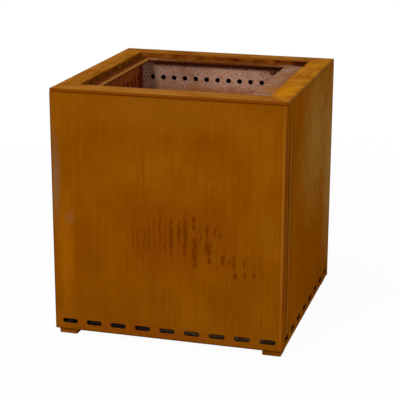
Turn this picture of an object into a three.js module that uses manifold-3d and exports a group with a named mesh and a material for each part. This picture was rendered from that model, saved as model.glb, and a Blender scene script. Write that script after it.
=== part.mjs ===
// Smokeless fire pit: a square box of weathering steel with two walls. Air enters the slots at the
// foot of the casing, rises between casing and firebox, and leaves through the row of holes round the
// top of the firebox, where it burns the smoke. A loose flame ring lies on the firebox, and a mitred
// rim frame lifts off over it.
// Frame: origin on the ground under the middle of the body, +X right, +Y back, +Z up, front facing -Y.
// Lengths are in millimetres.
import * as THREE from 'three';
import { mergeVertices } from 'three/addons/utils/BufferGeometryUtils.js';
import Module from 'manifold-3d';

const wasm = await Module();
wasm.setup();

// Whole body
const PLAN = 500; // outer width and depth of casing and rim
const BODY_HEIGHT = 527.5; // lower edge of the casing to the top of the rim
const PLATE = 3; // sheet of casing, floor, firebox, flame ring and rim
const FOLD = 4; // outer radius of every fold in that sheet
const SEAT_GAP = 0.3; // air between pieces that lie on or against each other
const OVERRUN = 6; // how far a cut runs past the sheet that it cuts

// Feet
const FOOT_HEIGHT = 11;
const FOOT_SIZE = 40;
const FOOT_INSET = 6;
const FOOT_CORNER = 3;

// Casing
const TOP_FLANGE = 15;
const BOTTOM_FLANGE = 25;
const RELIEF_MARGIN = 1; // between the flanges' notch and the corner fold
const SLOT_LENGTH = 35;
const SLOT_HEIGHT = 10.5;
const SLOT_RISE = 20.5; // casing's lower edge to the middle of the slots
const SLOT_CORNER_MARGIN = 33; // casing's corner to the middle of the first slot
const FRONT_SLOTS = 9;
const SIDE_SLOTS = 8;
const ANGLE_LEG = 40;
const ANGLE_MARGIN = 12; // slots to the foot of the corner angles
const FLOOR_PLAY = 1;

// Rim frame
const RIM_WIDTH = 48;
const GUSSET_LEG = 95;
const GUSSET_PLAY = 1;
const LUG_WIDTH = 60;
const LUG_REACH = 4.5; // locating lugs, below the top of the casing
const LUG_PLAY = 1;
const LUG_CLEARANCE = 0.9; // locating lugs down to the flame ring

// Flame ring, slid over the firebox towards the back left
const RING_PLAY = 18;
const RING_LIP = 36.6; // reach of a centred ring past the firebox wall
const RING_CORNER = 2;
const RING_SLIDE_SHARES = { x: -0.62, y: 0.88 };

// Firebox
const AIR_GAP = 46.4; // casing to firebox
const WALL_FOOT = 20;
const AIR_HOLE = 12;
const AIR_HOLES = 14;
const UPPER_ROW_DROP = 41; // top edge of the firebox to the upper row
const LOWER_ROW_RISE = 45; // floor to the lower row

// Hangers that tie the top of the firebox to the casing
const HANGER_OFFSET = 117; // from the middle of each wall towards the casing's nearest seam
const HANGER_EDGE = 0.7; // top edge of the firebox down to bracket and washer
const BOLT = 10;
const BOLT_CLEARANCE = 0.5; // radial, in the holes of wall and bracket
const HEX_WIDTH = 16; // across flats
const HEAD_HEIGHT = 6.4;
const WASHER_WIDTH = 18;
const WASHER_HEIGHT = 2;
const NUT_HEIGHT = 8;
const THREAD_END = 3;
const BRACKET_WIDTH = 30;
const SPANNER_ROOM = 6;
const BRACKET_DROP = 18;

// Grate and its rests
const ASH_SPACE = 78; // floor to the top of the rests
const REST_REACH = 20;
const REST_WIDTH = 60;
const REST_LEG = 22;
const GRATE_PLAY = 5; // to the bolt heads that the grate is lifted past
const GRATE_FRAME_WIDTH = 14;
const GRATE_FRAME_HEIGHT = 12;
const GRATE_CORNER = 4;
const GRATE_RIB = 8;
const GRATE_BAR = 10;
const GRATE_BARS = 13;

// Ash pan
const PAN_SHEET = 2;
const PAN_DEPTH = 40;
const PAN_PLAY = 5; // to the rests that the pan is lifted past
const PAN_CORNER = 8;
const HANDLE_ROD = 6;
const HANDLE_SPAN = 100;
const HANDLE_HOLD = 20; // height of the legs that are welded to the pan's wall
const HANDLE_RISE = 22; // top of the pan to the middle of the grip
const HANDLE_BEND = 12;

// Facets
const FOLD_STEPS = 4;
const ROUND_END_STEPS = 6;
const HOLE_SIDES = 14;
const SHANK_SIDES = 12;
const BAR_SIDES = 8;
const HANDLE_STEPS = 20;

// Levels
const casingBottom = FOOT_HEIGHT;
const rimTop = casingBottom + BODY_HEIGHT;
const rimUnderside = rimTop - PLATE;
const gussetTop = rimUnderside - SEAT_GAP;
const gussetBottom = gussetTop - PLATE;
const fasciaBottom = gussetBottom;
const casingTop = gussetBottom - SEAT_GAP;
const lugBottom = casingTop - LUG_REACH;
const ringTop = lugBottom - LUG_CLEARANCE;
const wallTop = ringTop - PLATE - SEAT_GAP;
const floorBottom = casingBottom + PLATE + SEAT_GAP;
const floorTop = floorBottom + PLATE;
const wallBottom = floorTop + SEAT_GAP;
const slotLevel = casingBottom + SLOT_RISE;
const restTop = floorTop + ASH_SPACE;
const hangerTop = wallTop - HANGER_EDGE;
const boltLevel = hangerTop - WASHER_WIDTH / 2;

// Distances from the middle of the body
const half = PLAN / 2;
const inside = half - PLATE;
const topOpening = half - TOP_FLANGE;
const wallOuter = inside - AIR_GAP;
const wallInner = wallOuter - PLATE;
const rimOpening = half - RIM_WIDTH;
const ringHalf = topOpening - RING_PLAY;
const ringMouth = wallInner - RING_LIP;
const restEdge = wallInner - SEAT_GAP - REST_REACH;
const boltHeadFace = wallInner - SEAT_GAP - HEAD_HEIGHT;
const grateHalf = boltHeadFace - GRATE_PLAY;
const panHalf = restEdge - PAN_PLAY;

const SIDES = ['front', 'right', 'back', 'left'];
const CORNERS = ['front_left', 'front_right', 'back_right', 'back_left'];

const finishes = {
  weathered: new THREE.MeshStandardMaterial({ color: 0x84490f, roughness: 0.85, metalness: 0.2 }),
  scaled: new THREE.MeshStandardMaterial({ color: 0x7f5540, roughness: 0.9, metalness: 0.2 }),
  grate: new THREE.MeshStandardMaterial({ color: 0x4a3a32, roughness: 0.8, metalness: 0.4 }),
  pan: new THREE.MeshStandardMaterial({ color: 0x6b6258, roughness: 0.7, metalness: 0.5 }),
  fastener: new THREE.MeshStandardMaterial({ color: 0x3a3028, roughness: 0.55, metalness: 0.7 }),
};

// How an outline lies: flat in plan and drawn up, upright and drawn to the right, or facing the
// front and drawn towards it.
const axes = {
  x: new THREE.Vector3(1, 0, 0),
  y: new THREE.Vector3(0, 1, 0),
  z: new THREE.Vector3(0, 0, 1),
};
const IN_PLAN = new THREE.Matrix4();
const TO_THE_RIGHT = new THREE.Matrix4().makeBasis(axes.y, axes.z, axes.x);
const TO_THE_FRONT = new THREE.Matrix4().makeBasis(axes.x, axes.z, axes.y.clone().negate());

const part = new THREE.Group();
part.name = 'smokeless_fire_pit';

/** A lay turned about the upright axis by quarter turns, from front to right, back and left. */
function turned(lay, quarters) {
  return new THREE.Matrix4().makeRotationZ((quarters * Math.PI) / 2).multiply(lay);
}

/** A closed geometry as a solid that can be joined and cut. */
function solidOf(geometry) {
  const bare = geometry.clone();
  bare.deleteAttribute('normal');
  bare.deleteAttribute('uv');
  const merged = mergeVertices(bare);
  const vertProperties = new Float32Array(merged.attributes.position.array);
  const triVerts = new Uint32Array(merged.index.array);
  return new wasm.Manifold(new wasm.Mesh({ numProp: 3, vertProperties, triVerts }));
}

/** A solid as a geometry again. */
function geometryOf(solid) {
  const { vertProperties, triVerts, numProp } = solid.getMesh();
  const geometry = new THREE.BufferGeometry();
  geometry.setAttribute('position', new THREE.BufferAttribute(vertProperties, numProp));
  geometry.setIndex(new THREE.BufferAttribute(triVerts, 1));
  geometry.computeVertexNormals();
  return geometry;
}

/** Adds one piece to the model, turned from the front by quarter turns. */
function addPiece(name, solid, finish, quarters = 0) {
  const mesh = new THREE.Mesh(geometryOf(solid), finish);
  mesh.name = name;
  mesh.rotation.z = (quarters * Math.PI) / 2;
  part.add(mesh);
  return mesh;
}

/** Points of an outline from pairs of coordinates. */
function outline(...pairs) {
  return pairs.map(([u, v]) => new THREE.Vector2(u, v));
}

/** The solid that an outline sweeps from one distance to another; several outlines make one cutter. */
function prism(outlines, from, to, lay = IN_PLAN) {
  const shapes = outlines.map((points) => new THREE.Shape(points));
  const geometry = new THREE.ExtrudeGeometry(shapes, { depth: to - from, bevelEnabled: false });
  geometry.translate(0, 0, from);
  return solidOf(geometry.applyMatrix4(lay));
}

/** A rectangular outline from its low to its high corner, rounded where a radius is given. */
function rectangle(low, high, radius = 0) {
  if (radius === 0) {
    return outline([low.x, low.y], [high.x, low.y], [high.x, high.y], [low.x, high.y]);
  }
  const near = low.clone().addScalar(radius);
  const far = high.clone().addScalar(-radius);
  return rectangle(near, far).flatMap((bend, corner) => (
    Array.from({ length: FOLD_STEPS + 1 }, (_, step) => {
      const angle = Math.PI + ((corner + step / FOLD_STEPS) * Math.PI) / 2;
      return new THREE.Vector2(Math.cos(angle), Math.sin(angle)).multiplyScalar(radius).add(bend);
    })
  ));
}

/** A square outline round a centre, its corners rounded where a radius is given. */
function square(reach, radius = 0, centre = new THREE.Vector2()) {
  return rectangle(centre.clone().addScalar(-reach), centre.clone().addScalar(reach), radius);
}

/** A round outline with the given number of sides. */
function round(radius, sides, centre) {
  return Array.from({ length: sides }, (_, i) => {
    const angle = ((i + 0.5) * 2 * Math.PI) / sides;
    return new THREE.Vector2(Math.cos(angle), Math.sin(angle)).multiplyScalar(radius).add(centre);
  });
}

/** A slot outline with half-round ends, lying along the first axis. */
function slot(length, height, centre) {
  const radius = height / 2;
  const reach = length / 2 - radius;
  return [1, -1].flatMap((end) => Array.from({ length: ROUND_END_STEPS + 1 }, (_, step) => {
    const angle = Math.PI * (step / ROUND_END_STEPS - 0.5);
    return new THREE.Vector2(reach + radius * Math.cos(angle), radius * Math.sin(angle))
      .multiplyScalar(end)
      .add(centre);
  }));
}

/** Places spread evenly, the first and last at the ends. */
function spread(count, first, last) {
  return Array.from({ length: count }, (_, i) => first + ((last - first) * i) / (count - 1));
}

/**
 * Outline of a sheet folded along a path. The path follows one face of the sheet, the sheet lies on
 * its left, and each fold has the given outer radius.
 */
function foldedSheet(path, sheet = PLATE, outerRadius = FOLD) {
  const leftOf = (direction) => new THREE.Vector2(-direction.y, direction.x);
  const runs = path.slice(1).map((point, i) => point.clone().sub(path[i]).normalize());
  const near = [path[0]];
  const far = [path[0].clone().addScaledVector(leftOf(runs[0]), sheet)];
  runs.slice(1).forEach((after, i) => {
    const before = runs[i];
    const turn = Math.sign(before.cross(after));
    const angle = before.angleTo(after);
    const nearRadius = turn > 0 ? outerRadius : outerRadius - sheet;
    const farRadius = turn > 0 ? outerRadius - sheet : outerRadius;
    const centre = path[i + 1].clone()
      .addScaledVector(before, -nearRadius * Math.tan(angle / 2))
      .addScaledVector(leftOf(before), turn * nearRadius);
    spread(FOLD_STEPS + 1, 0, turn * angle).forEach((swing) => {
      const spoke = leftOf(before).multiplyScalar(-turn).rotateAround(new THREE.Vector2(), swing);
      near.push(centre.clone().addScaledVector(spoke, nearRadius));
      far.push(centre.clone().addScaledVector(spoke, farRadius));
    });
  });
  const last = path[path.length - 1];
  near.push(last);
  far.push(last.clone().addScaledVector(leftOf(runs[runs.length - 1]), sheet));
  return [...near, ...far.reverse()];
}

/** A hexagonal prism with flats up and down, its axis along Y. */
function hexagon(width, from, to, centre) {
  const corner = width / Math.sqrt(3);
  const points = Array.from({ length: 6 }, (_, i) => (
    new THREE.Vector2(Math.cos((i * Math.PI) / 3), Math.sin((i * Math.PI) / 3))
      .multiplyScalar(corner)
      .add(centre)
  ));
  return prism([points], from, to, TO_THE_FRONT);
}

/**
 * Plan outline that trims one leg of the casing. Each end is a list of reach and depth pairs, from
 * the outer face inwards.
 */
function legPlan(leftEnd, rightEnd) {
  const left = leftEnd.map(([reach, depth]) => [-reach, -depth]);
  const right = rightEnd.map(([reach, depth]) => [reach, -depth]);
  return outline(...left, ...right.reverse());
}

/** Slot cutters for the leg of the casing that faces the given side. */
function casingSlots(count, quarters) {
  const end = half - SLOT_CORNER_MARGIN;
  const slots = spread(count, -end, end)
    .map((x) => slot(SLOT_LENGTH, SLOT_HEIGHT, new THREE.Vector2(x, slotLevel)));
  return prism(slots, inside - OVERRUN, half + OVERRUN, turned(TO_THE_FRONT, quarters));
}

/** The corner fold between the front and right legs of the casing, closed and ground round at its ends. */
function casingFold() {
  const reach = 2 * (FOLD + RELIEF_MARGIN);
  const section = foldedSheet(outline([half - reach, -half], [half, -half], [half, reach - half]));
  const low = new THREE.Vector2(-half, casingBottom);
  const high = new THREE.Vector2(half, casingTop);
  const profile = rectangle(low, high, FOLD);
  return prism([section], casingBottom, casingTop)
    .intersect(prism([profile], -half, half, TO_THE_RIGHT))
    .intersect(prism([profile], -half, half, turned(TO_THE_RIGHT, 1)));
}

/**
 * One of the two casing wraps: a front leg and a right leg joined by a fold, with a flange turned in
 * along the top and the bottom. The front leg covers the edge of the next wrap's right leg.
 */
function casingWrap() {
  const relief = FOLD + RELIEF_MARGIN;
  const deep = half - BOTTOM_FLANGE - OVERRUN;
  const outer = half + OVERRUN;
  const butt = inside - SEAT_GAP;
  const flangeEnd = [[butt, inside], [deep - SEAT_GAP, deep]];
  const coverEnd = [[half, outer], [half, inside], ...flangeEnd];
  const buttEnd = [[butt, outer], ...flangeEnd];
  const foldEnd = [[outer - relief, outer], [deep - relief, deep]];
  const section = foldedSheet(outline(
    [-topOpening, casingTop],
    [-half, casingTop],
    [-half, casingBottom],
    [BOTTOM_FLANGE - half, casingBottom],
  ));
  const leg = (quarters, plan) => prism([section], -half, half, turned(TO_THE_RIGHT, quarters))
    .intersect(prism([plan], casingBottom - OVERRUN, casingTop + OVERRUN, turned(IN_PLAN, quarters)));
  return leg(0, legPlan(coverEnd, foldEnd))
    .add(leg(1, legPlan(foldEnd, buttEnd)))
    .add(casingFold())
    .subtract(casingSlots(FRONT_SLOTS, 0))
    .subtract(casingSlots(SIDE_SLOTS, 1));
}

/** Angle inside the front left corner, where the two wraps meet. */
function cornerAngle() {
  const outer = inside - SEAT_GAP;
  const section = foldedSheet(outline(
    [-outer, ANGLE_LEG - outer],
    [-outer, -outer],
    [ANGLE_LEG - outer, -outer],
  ));
  const foot = slotLevel + SLOT_HEIGHT / 2 + ANGLE_MARGIN;
  return prism([section], foot, casingTop - PLATE - SEAT_GAP);
}

/** Front wall of the firebox, with its foot turned outwards, its two rows of air holes and one bolt hole. */
function fireboxWall(hangerPlace) {
  const section = foldedSheet(outline(
    [-wallOuter - WALL_FOOT, wallBottom],
    [-wallInner, wallBottom],
    [-wallInner, wallTop],
  ));
  const end = wallInner - (2 * wallInner) / (AIR_HOLES + 1);
  const holes = [wallTop - UPPER_ROW_DROP, floorTop + LOWER_ROW_RISE].flatMap((level) => (
    spread(AIR_HOLES, -end, end)
      .map((x) => round(AIR_HOLE / 2, HOLE_SIDES, new THREE.Vector2(x, level)))
  ));
  const boltHole = round(BOLT / 2 + BOLT_CLEARANCE, HOLE_SIDES, hangerPlace);
  return prism([section], -wallOuter, wallInner - SEAT_GAP, TO_THE_RIGHT)
    .subtract(prism([...holes, boltHole], wallInner - OVERRUN, wallOuter + OVERRUN, TO_THE_FRONT));
}

/** Stepped bracket between the front wall of the firebox and the casing. */
function hangerBracket(place) {
  const web = hangerTop - WASHER_WIDTH - SPANNER_ROOM - PLATE;
  const wallFace = wallOuter + SEAT_GAP;
  const casingFace = inside - SEAT_GAP;
  const section = foldedSheet(outline(
    [PLATE - casingFace, web - BRACKET_DROP],
    [PLATE - casingFace, web],
    [-wallFace, web],
    [-wallFace, hangerTop],
  ));
  const left = place.x - BRACKET_WIDTH / 2;
  const hole = round(BOLT / 2 + BOLT_CLEARANCE, HOLE_SIDES, place);
  return prism([section], left, left + BRACKET_WIDTH, TO_THE_RIGHT)
    .subtract(prism([hole], wallOuter - OVERRUN, wallFace + PLATE + OVERRUN, TO_THE_FRONT));
}

/** Bolt, washer and nut of one hanger, stacked outwards from the inside of the front wall. */
function hangerFasteners(place) {
  const headSeat = wallInner - SEAT_GAP;
  const washerSeat = wallOuter + PLATE + 2 * SEAT_GAP;
  const nutSeat = washerSeat + WASHER_HEIGHT + SEAT_GAP;
  const shankEnd = nutSeat + NUT_HEIGHT + THREAD_END;
  const shank = prism([round(BOLT / 2, SHANK_SIDES, place)], boltHeadFace, shankEnd, TO_THE_FRONT);
  const bore = prism(
    [round(BOLT / 2 + SEAT_GAP, SHANK_SIDES, place)],
    wallOuter,
    shankEnd + OVERRUN,
    TO_THE_FRONT,
  );
  const disc = [round(WASHER_WIDTH / 2, SHANK_SIDES, place)];
  return {
    bolt: shank.add(hexagon(HEX_WIDTH, boltHeadFace, headSeat, place)),
    washer: prism(disc, washerSeat, washerSeat + WASHER_HEIGHT, TO_THE_FRONT).subtract(bore),
    nut: hexagon(HEX_WIDTH, nutSeat, nutSeat + NUT_HEIGHT, place).subtract(bore),
  };
}

/** Angle on the front wall of the firebox that carries the grate. */
function grateRest() {
  const face = wallInner - SEAT_GAP;
  const section = foldedSheet(outline(
    [-restEdge, restTop],
    [-face, restTop],
    [-face, restTop - REST_LEG],
  ));
  return prism([section], -REST_WIDTH / 2, REST_WIDTH / 2, TO_THE_RIGHT);
}

/** Welded grate: a square frame of flat bar, a rib across its middle and round bars. */
function fireGrate() {
  const bottom = restTop + SEAT_GAP;
  const top = bottom + GRATE_FRAME_HEIGHT;
  const frameInner = grateHalf - GRATE_FRAME_WIDTH;
  const frame = prism([square(grateHalf, GRATE_CORNER)], bottom, top)
    .subtract(prism([square(frameInner)], bottom - OVERRUN, top + OVERRUN));
  const barReach = grateHalf - GRATE_FRAME_WIDTH / 2;
  const rib = outline(
    [-GRATE_RIB / 2, -barReach],
    [GRATE_RIB / 2, -barReach],
    [GRATE_RIB / 2, barReach],
    [-GRATE_RIB / 2, barReach],
  );
  const end = frameInner - (2 * frameInner) / (GRATE_BARS + 1);
  const middle = bottom + GRATE_FRAME_HEIGHT / 2;
  const bars = spread(GRATE_BARS, -end, end)
    .map((y) => round(GRATE_BAR / 2, BAR_SIDES, new THREE.Vector2(y, middle)));
  return frame
    .add(prism([rib], bottom, top))
    .add(prism(bars, -barReach, barReach, TO_THE_RIGHT));
}

/** Ash pan: a folded tray that passes between the grate rests. */
function ashPan() {
  const bottom = floorTop + SEAT_GAP;
  const hollow = square(panHalf - PAN_SHEET, PAN_CORNER - PAN_SHEET);
  return prism([square(panHalf, PAN_CORNER)], bottom, bottom + PAN_DEPTH)
    .subtract(prism([hollow], bottom + PAN_SHEET, bottom + PAN_DEPTH + OVERRUN));
}

/** Lifting handle inside the front wall of the ash pan: a rod bent to a U, standing on its legs. */
function panHandle() {
  const panTop = floorTop + SEAT_GAP + PAN_DEPTH;
  const y = -(panHalf - PAN_SHEET - SEAT_GAP - HANDLE_ROD / 2);
  const foot = panTop - HANDLE_HOLD;
  const grip = panTop + HANDLE_RISE;
  const reach = HANDLE_SPAN / 2;
  const at = (x, z) => new THREE.Vector3(x, y, z);
  const path = new THREE.CurvePath();
  path.add(new THREE.LineCurve3(at(-reach, foot), at(-reach, grip - HANDLE_BEND)));
  path.add(new THREE.QuadraticBezierCurve3(
    at(-reach, grip - HANDLE_BEND),
    at(-reach, grip),
    at(HANDLE_BEND - reach, grip),
  ));
  path.add(new THREE.LineCurve3(at(HANDLE_BEND - reach, grip), at(reach - HANDLE_BEND, grip)));
  path.add(new THREE.QuadraticBezierCurve3(
    at(reach - HANDLE_BEND, grip),
    at(reach, grip),
    at(reach, grip - HANDLE_BEND),
  ));
  path.add(new THREE.LineCurve3(at(reach, grip - HANDLE_BEND), at(reach, foot)));
  const rod = new THREE.Shape(round(HANDLE_ROD / 2, BAR_SIDES, new THREE.Vector2()));
  return solidOf(new THREE.ExtrudeGeometry(rod, { steps: HANDLE_STEPS, extrudePath: path }));
}

/** Flame ring: a flat plate with a square mouth, slid off centre. */
function flameRing() {
  const centre = new THREE.Vector2(RING_PLAY * RING_SLIDE_SHARES.x, RING_PLAY * RING_SLIDE_SHARES.y);
  const bottom = ringTop - PLATE;
  return prism([square(ringHalf, RING_CORNER, centre)], bottom, ringTop)
    .subtract(prism([square(ringMouth, RING_CORNER, centre)], bottom - OVERRUN, ringTop + OVERRUN));
}

/** Front member of the rim frame: top plate with a short fascia folded down outside, mitred. */
function rimMember() {
  const section = foldedSheet(outline(
    [-rimOpening, rimTop],
    [-half, rimTop],
    [-half, fasciaBottom],
  ));
  const outer = half + OVERRUN;
  const inner = rimOpening - OVERRUN;
  const mitre = outline(
    [SEAT_GAP - outer, -outer],
    [outer - SEAT_GAP, -outer],
    [inner - SEAT_GAP, -inner],
    [SEAT_GAP - inner, -inner],
  );
  return prism([section], -half, half, TO_THE_RIGHT)
    .intersect(prism([mitre], ringTop - OVERRUN, rimTop + OVERRUN));
}

/** Strip of flat bar that stands on edge between two distances along the front. */
function strip(left, right, face, bottom) {
  const plan = outline([left, -face], [right, -face], [right, PLATE - face], [left, PLATE - face]);
  return prism([plan], bottom, gussetTop);
}

/** Skirt under the inner edge of the front rim member; it covers the end of the left one. */
function rimSkirt() {
  const face = rimOpening + PLATE;
  return strip(-face, rimOpening - SEAT_GAP, face, ringTop + SEAT_GAP);
}

/** Lug under the middle of the front rim member, which drops inside the casing and locates the rim. */
function rimLug() {
  return strip(-LUG_WIDTH / 2, LUG_WIDTH / 2, topOpening - LUG_PLAY, lugBottom);
}

/** Gusset under the front left mitre of the rim. */
function rimGusset() {
  const outer = inside - GUSSET_PLAY;
  const inner = rimOpening + PLATE + GUSSET_PLAY;
  const leg = GUSSET_LEG - outer;
  const plate = outline(
    [-outer, -outer],
    [leg, -outer],
    [leg, -inner],
    [-inner, -inner],
    [-inner, leg],
    [-outer, leg],
  );
  return prism([plate], gussetBottom, gussetTop);
}

/** Square pad under the front left corner. */
function foot() {
  const reach = half - FOOT_INSET - FOOT_SIZE / 2;
  const pad = square(FOOT_SIZE / 2, FOOT_CORNER, new THREE.Vector2(-reach, -reach));
  return prism([pad], 0, FOOT_HEIGHT - SEAT_GAP);
}

const { weathered, scaled, grate, pan, fastener } = finishes;

const wrap = casingWrap();
addPiece('casing_wrap_front_right', wrap, weathered);
addPiece('casing_wrap_back_left', wrap, weathered, 2);
addPiece('corner_angle_front_left', cornerAngle(), weathered);
addPiece('corner_angle_back_right', cornerAngle(), weathered, 2);
addPiece('floor_plate', prism([square(inside - FLOOR_PLAY)], floorBottom, floorTop), weathered);

SIDES.forEach((side, quarters) => {
  const towardsSeam = quarters % 2 === 0 ? -HANGER_OFFSET : HANGER_OFFSET;
  const hangerPlace = new THREE.Vector2(towardsSeam, boltLevel);
  const { bolt, washer, nut } = hangerFasteners(hangerPlace);
  addPiece(`firebox_${side}`, fireboxWall(hangerPlace), scaled, quarters);
  addPiece(`hanger_bracket_${side}`, hangerBracket(hangerPlace), weathered, quarters);
  addPiece(`hanger_bolt_${side}`, bolt, fastener, quarters);
  addPiece(`hanger_washer_${side}`, washer, fastener, quarters);
  addPiece(`hanger_nut_${side}`, nut, fastener, quarters);
  addPiece(`grate_rest_${side}`, grateRest(), scaled, quarters);
  addPiece(`rim_${side}`, rimMember(), weathered, quarters);
  addPiece(`rim_skirt_${side}`, rimSkirt(), weathered, quarters);
  addPiece(`rim_lug_${side}`, rimLug(), weathered, quarters);
});

CORNERS.forEach((corner, quarters) => {
  addPiece(`foot_${corner}`, foot(), weathered, quarters);
  addPiece(`rim_gusset_${corner}`, rimGusset(), weathered, quarters);
});

addPiece('fire_grate', fireGrate(), grate);
addPiece('ash_pan', ashPan(), pan);
addPiece('ash_pan_handle_right', panHandle(), pan, 1);
addPiece('ash_pan_handle_left', panHandle(), pan, 3);
addPiece('flame_ring', flameRing(), scaled);

export default part;
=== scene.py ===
"""Visual model of a square smokeless fire pit in weathering steel.

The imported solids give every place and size. This script dresses them with patina, heat scale and
oxide, replaces fasteners, grate and ash pan by finer pieces, adds the welds, and sets up a plain
pale studio with a camera at the angle of the photograph.

Lengths are in metres, apart from those whose names end in _mm. What repeats round the pit is built
at the front, or at the front left corner, and turned to its own place.
"""

import logging
import math
import random
from collections.abc import Iterable, Sequence
from dataclasses import dataclass
from enum import Enum
from typing import Any

import bmesh
import bpy
from mathutils import Matrix, Vector, noise


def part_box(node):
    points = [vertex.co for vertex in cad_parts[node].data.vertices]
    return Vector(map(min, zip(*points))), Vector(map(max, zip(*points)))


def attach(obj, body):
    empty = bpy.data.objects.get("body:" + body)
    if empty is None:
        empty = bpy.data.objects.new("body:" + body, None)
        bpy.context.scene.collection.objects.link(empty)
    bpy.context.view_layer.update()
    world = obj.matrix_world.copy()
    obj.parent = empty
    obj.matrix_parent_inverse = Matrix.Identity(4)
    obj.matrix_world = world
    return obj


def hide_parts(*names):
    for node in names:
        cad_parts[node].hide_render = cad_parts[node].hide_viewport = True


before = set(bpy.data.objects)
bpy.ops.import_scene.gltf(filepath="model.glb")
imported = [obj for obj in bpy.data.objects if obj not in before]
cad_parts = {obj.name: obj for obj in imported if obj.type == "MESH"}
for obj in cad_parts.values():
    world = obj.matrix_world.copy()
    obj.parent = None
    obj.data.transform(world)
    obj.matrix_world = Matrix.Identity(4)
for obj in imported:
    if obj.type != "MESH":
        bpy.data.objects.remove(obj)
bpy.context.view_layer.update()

logging.basicConfig(level=logging.INFO, format="%(name)s: %(message)s")
LOG = logging.getLogger("fire_pit")

SHARP_ANGLE = math.radians(40)  # an edge above it stays sharp
MERGE_DISTANCE = 0.00001  # corners of a solid that are nearer than this are one
SOFT = {"interpolation_type": "SMOOTHSTEP"}  # setting of a range whose ends are gentle
WHITE = (1, 1, 1, 1)

Mesh = bmesh.types.BMesh
Finish = bpy.types.Material
Outputs = bpy.types.bpy_prop_collection
Socket = bpy.types.NodeSocket
Tree = bpy.types.NodeTree
Point = tuple[float, float, float]
Ring = list[Vector]


class Turned(Enum):
    """Places round the pit, counted in quarter turns from the first."""

    @property
    def label(self) -> str:
        """The place as the pieces' names spell it."""
        return self.name.lower()

    @property
    def turn(self) -> Matrix:
        """Turn about the upright axis that takes a piece from the first place to this one."""
        return Matrix.Rotation(self.value * math.pi / 2, 4, "Z")


class Side(Turned):
    """The four sides of the pit."""

    FRONT = 0
    RIGHT = 1
    BACK = 2
    LEFT = 3


class Corner(Turned):
    """The four corners of the pit."""

    FRONT_LEFT = 0
    FRONT_RIGHT = 1
    BACK_RIGHT = 2
    BACK_LEFT = 3


class Grain(Enum):
    """Direction in which the marks of rolling and of running water lie on a sheet."""

    ACROSS = 0
    DEEP = 1
    UPRIGHT = 2

    def feature(self, width_mm: float, length_mm: float) -> Point:
        """Size of one mark that is drawn out along the grain.

        Args:
            width_mm: Size across the grain.
            length_mm: Size along the grain.

        Returns:
            Width, depth and height of the mark.
        """
        size = [width_mm] * 3
        size[self.value] = length_mm
        return tuple(size)


# ---- helpers for colours and nodes


def linear(code: str) -> tuple[float, float, float, float]:
    """Turns an sRGB hex colour into the linear colour that shaders take.

    Args:
        code: Colour such as "#84490f".

    Returns:
        Red, green, blue and an alpha of one.
    """
    channels = (int(code[i : i + 2], 16) / 255 for i in (1, 3, 5))
    red, green, blue = (
        c / 12.92 if c <= 0.04045 else ((c + 0.055) / 1.055) ** 2.4 for c in channels
    )
    return red, green, blue, 1.0


def add_node(tree: Tree, kind: str, *values: Any, **settings: Any) -> Outputs:
    """Adds a node with its settings, values and links.

    Args:
        tree: Node tree that gets the node.
        kind: Type name of the node.
        *values: Value or linked socket for each input in order, or one dict of them by name.
        **settings: Properties of the node; `stops` gives a colour ramp's places and hex colours.

    Returns:
        The node's outputs, by name or number.
    """
    node = tree.nodes.new(kind)
    for place, (position, colour) in enumerate(settings.pop("stops", ())):
        elements = node.color_ramp.elements
        element = elements[place] if place < 2 else elements.new(position)
        element.position = position
        element.color = linear(colour)
    for name, value in settings.items():
        setattr(node, name, value)
    named = bool(values) and isinstance(values[0], dict)
    for key, value in (values[0] if named else dict(enumerate(values))).items():
        if isinstance(value, Socket):
            tree.links.new(value, node.inputs[key])
        else:
            node.inputs[key].default_value = value
    return node.outputs


def pattern(
    tree: Tree, size_mm: Point, detail: float, roughness: float = 0.5, shift: float = 0.0
) -> Socket:
    """An uneven pattern whose features have a real size.

    Args:
        tree: Node tree that gets the nodes.
        size_mm: Width, depth and height of one feature.
        detail: How many finer patterns lie on it.
        roughness: How strong these are.
        shift: Offset, in features, that sets two like patterns apart.

    Returns:
        Its level, from 0 to 1 and mostly near the middle.
    """
    place = add_node(tree, "ShaderNodeTexCoord")["Object"]
    scale = tuple(1000 / size for size in size_mm)
    inputs = {"Vector": place, "Scale": scale, "Location": (shift, shift, shift)}
    place = add_node(tree, "ShaderNodeMapping", inputs)[0]
    inputs = {"Vector": place, "Scale": 1.0, "Detail": detail, "Roughness": roughness}
    return add_node(tree, "ShaderNodeTexNoise", inputs)[0]


def laid_over(
    tree: Tree, colour: Socket, tint: str, level: Socket, start: float, full: float, strength: float
) -> Socket:
    """Lays a tint over a colour, softly, where a level is beyond a threshold.

    Args:
        tree: Node tree that gets the nodes.
        colour: Colour below.
        tint: Hex colour on top.
        level: Value that says where the tint lies.
        start: Level at which the tint begins to show.
        full: Level from which it shows at its full strength.
        strength: How much it covers there.

    Returns:
        The mixed colour.
    """
    mask = add_node(tree, "ShaderNodeMapRange", level, start, full, 0.0, strength, **SOFT)[0]
    inputs = {0: mask, 6: colour, 7: linear(tint)}
    return add_node(tree, "ShaderNodeMix", inputs, data_type="RGBA")[2]


def largest(tree: Tree, vector: Socket) -> Socket:
    """Largest of a vector's parts, whatever their sign.

    Args:
        tree: Node tree that gets the nodes.
        vector: The vector.

    Returns:
        The value.
    """
    size = add_node(tree, "ShaderNodeVectorMath", vector, operation="ABSOLUTE")[0]
    axes = add_node(tree, "ShaderNodeSeparateXYZ", size)
    value = axes["X"]
    for axis in ("Y", "Z"):
        value = add_node(tree, "ShaderNodeMath", value, axes[axis], operation="MAXIMUM")[0]
    return value


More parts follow.
